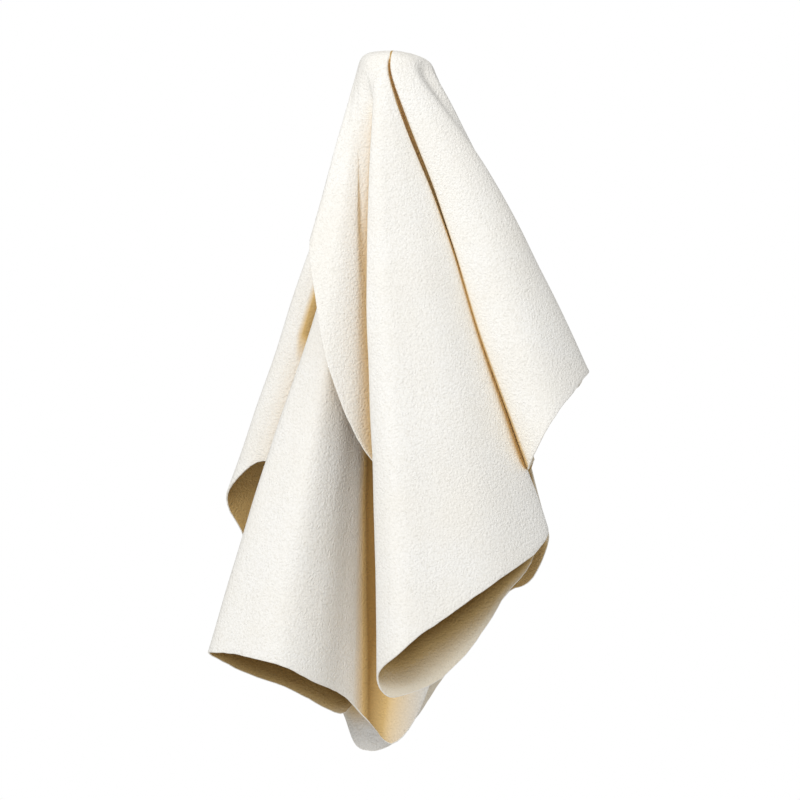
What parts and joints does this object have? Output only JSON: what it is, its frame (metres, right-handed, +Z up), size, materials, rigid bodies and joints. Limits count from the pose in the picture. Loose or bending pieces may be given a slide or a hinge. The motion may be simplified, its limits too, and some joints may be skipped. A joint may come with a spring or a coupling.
{
  "type": "chamois leather",
  "caption": "Soft chamois leather for drying and polishing, one thin cream hide with a raw cut edge, hanging by its middle in deep folds.",
  "frame": {"origin": "top of the peg that the hide hangs on, against the hide's underside", "axes": "+Z up along the peg, -Y towards the viewer of the picture, +X to the viewer's right"},
  "size_m": [0.1904, 0.1599, 0.353],
  "materials": {
    "chamois": "soft matt suede nap on both faces"
  },
  "bodies": {
    "root": {"chamois_hide": "chamois"}
  },
  "joints": []
}
